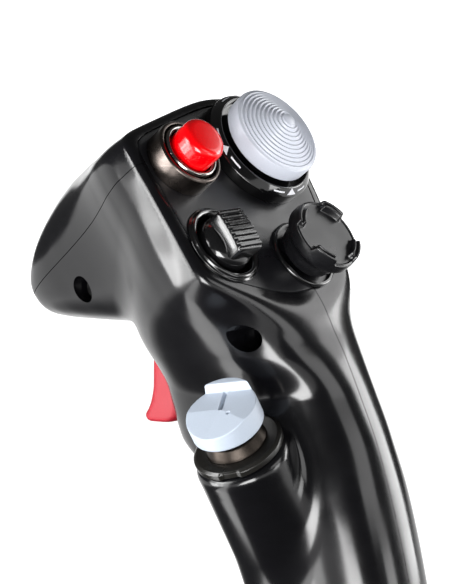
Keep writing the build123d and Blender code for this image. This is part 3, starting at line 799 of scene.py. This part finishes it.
nut_black = moulded("black_anodised_nut", "1a1a1c", 0.32, 0.06, 0.0004, 0.000004, Metallic=0.9)
outer_wall = [(21.5, h) for h in np.linspace(-8.1, 6.4, 16)]
profile = rounded([(17.9, -8.9), (20.9, -8.9)] + outer_wall + [(20.4, 7.5), (15.8, 7.5), (15.8, 2.75),
                  (18.5, 2.75), (18.5, 0), (17.9, 0)], 0.3, 3)
mesh = turned_mesh("nut", profile, lambda p: p, n=480, shape=grooves)
finish_piece("ring_nut_grooved", mesh, "ring_nut", "nut_aluminium", nut_black, "ring_nut")


# ------------------------------------------------------------------ plain inner and lower pieces
# Spigot, plug, screws, boards, switches, gimbals, stems, springs, ballast and loom have their
# right shape already, and get only the finish of the metal or plastic that each is made of.
steel = moulded("steel_turned", "9a9896", 0.28, 0.06, 0.0003, 0.000003, Metallic=1.0)
black_oxide = moulded("steel_black_oxide", "2a2a2a", 0.34, 0.06, 0.0003, 0.000004, Metallic=1.0)
aluminium = moulded("aluminium_turned", "b8b9bb", 0.30, 0.06, 0.0003, 0.000004, Metallic=1.0)
brass = moulded("gold_plated_pin", "d6b060", 0.22, 0.05, 0.0004, 0.000001, Metallic=1.0)
nylon = moulded("black_nylon_matte", "141415", 0.50, 0.06, 0.0004, 0.00001)
solder_mask = moulded("green_solder_mask", "0f4a2a", 0.34, 0.05, 0.0006, 0.000006)
epoxy = moulded("black_epoxy", "161616", 0.45, 0.05, 0.0003, 0.000008)
sleeve = moulded("black_pvc_sleeve", "18181a", 0.46, 0.06, 0.0006, 0.00001)
kept = {
    "mount_spigot": aluminium, "plug_body": nylon, "plug_pins": brass, "shell_screws": black_oxide,
    "head_board": solder_mask, "main_board": solder_mask, "board_chip": epoxy, "wiring_loom": sleeve,
    "ballast_weight": steel, "red_button_switch": nylon, "red_button_spring": steel,
    "trigger_pin": steel, "trigger_spring": steel, "trigger_switch": nylon,
}
for hat in ("trim", "weapon", "castle", "crown"):
    kept[hat + "_switch"] = nylon
    kept[hat + "_gimbal"] = steel
    kept[hat + "_stem"] = steel
for name, made in kept.items():
    dress(nodes[name], made)


# ------------------------------------------------------------------ floor, backdrop and lights
# A matt floor, dark round the grip as painted shade and pale with a painted glow further out, a lit card
# behind, and soft boxes low on the left, right and rear.
def plane_mesh(name, corners):
    """A flat four-cornered piece of the set."""
    mesh = bpy.data.meshes.new(name)
    mesh.from_pydata(corners, [], [(0, 1, 2, 3)])
    piece = new_object(name, mesh)
    return piece


def card(name, near, far, glow):
    """Matt card, its colour darker round the object as painted shade and glowing white further out as painted
    light, by distance from the grip.
    """
    made = bpy.data.materials.new(name)
    made.use_nodes = True
    tree = made.node_tree
    shader = tree.nodes["Principled BSDF"]
    shader.inputs["Roughness"].default_value = 0.8
    shader.inputs["Emission Color"].default_value = (1, 1, 1, 1)
    where = add(tree, "TexCoord").outputs["Object"]
    distance = add(tree, "VectorMath", {"operation": "LENGTH"}, Vector=where).outputs["Value"]
    # Painted shade: the colour darkens towards the grip. Painted light: the glow grows further out.
    tone = add(tree, "MapRange", inputs={"From Min": 0.16, "From Max": 0.34, "To Min": near, "To Max": far},
               Value=distance)
    light = add(tree, "MapRange", inputs={"From Min": 0.24, "From Max": 0.34, "To Min": 0, "To Max": glow},
                Value=distance)
    tree.links.new(shader.inputs["Base Color"], tone.outputs[0])
    tree.links.new(shader.inputs["Emission Strength"], light.outputs[0])
    return made


floor_z = -0.0091
floor = plane_mesh("floor", [(-3, -3, floor_z), (3, -3, floor_z), (3, 3, floor_z), (-3, 3, floor_z)])
# The floor carries painted shade round the grip and a painted glow beyond it.
dress(floor, card("floor_painted_shade_and_glow", 0.04, 0.2, 1.0))
away = np.array([0.76, 0.641, 0])
side = np.array([0.641, -0.76, 0])
middle = away * 1.4
corners = [middle - side * 0.6, middle + side * 0.6, middle + side * 0.6, middle - side * 0.6]
backdrop = plane_mesh("backdrop", [tuple(c + (0, 0, h)) for c, h in zip(corners, (-0.2, -0.2, 0.5, 0.5))])
dress(backdrop, card("backdrop_card", 0.85, 0.85, 0.9))

world = bpy.data.worlds.new("studio")
bpy.context.scene.world = world
world.use_nodes = True
world.node_tree.nodes["Background"].inputs["Color"].default_value = (1, 1, 1, 1)
world.node_tree.nodes["Background"].inputs["Strength"].default_value = 0.08


def softbox(name, azimuth, distance, height, size, radiance, tip=0.0):
    """A rectangular light of a given radiance, at a compass direction from the grip (0 forward, 90
    to the right), upright and facing it, or tipped back by some degrees towards the sky."""
    light = bpy.data.lights.new(name, "AREA")
    light.shape = "RECTANGLE"
    light.size, light.size_y = size
    light.energy = radiance * math.pi * size[0] * size[1]
    box = bpy.data.objects.new(name, light)
    a, t = math.radians(azimuth), math.radians(tip)
    outward = Vector((math.sin(a), math.cos(a), 0))
    box.location = Vector((-0.01, 0.03, height)) + outward * distance
    facing = -outward * math.cos(t) + Vector((0, 0, math.sin(t)))
    box.rotation_euler = facing.to_track_quat("-Z", "Y").to_euler()
    bpy.context.scene.collection.objects.link(box)


softbox("key_left_rear", -125, 0.46, 0.05, (0.22, 0.40), 18, tip=70)
softbox("left_low_near", -75, 0.36, 0.06, (0.10, 0.16), 5.5)
softbox("left_low_middle", -62, 0.36, 0.06, (0.10, 0.16), 9)
softbox("left_low_far", -49, 0.36, 0.06, (0.10, 0.16), 13)
softbox("left_high_near", -75, 0.36, 0.22, (0.10, 0.16), 8)
softbox("left_high_middle", -62, 0.36, 0.22, (0.10, 0.16), 13)
softbox("left_high_far", -49, 0.36, 0.22, (0.10, 0.16), 5)
softbox("low_left", -72, 0.17, 0.0, (0.24, 0.06), 4, tip=90)
softbox("right", 120, 0.9, 0.25, (0.30, 0.42), 10)
softbox("right_high", 112, 0.9, 0.60, (0.55, 0.30), 3.6, tip=-25)
softbox("rear_low", 160, 0.6, 0.05, (0.2, 0.2), 6)
softbox("rear_high", 170, 0.6, 0.28, (0.35, 0.2), 2.7, tip=-20)

bpy.context.scene.view_settings.view_transform = "Standard"
bpy.context.scene.view_settings.look = "None"
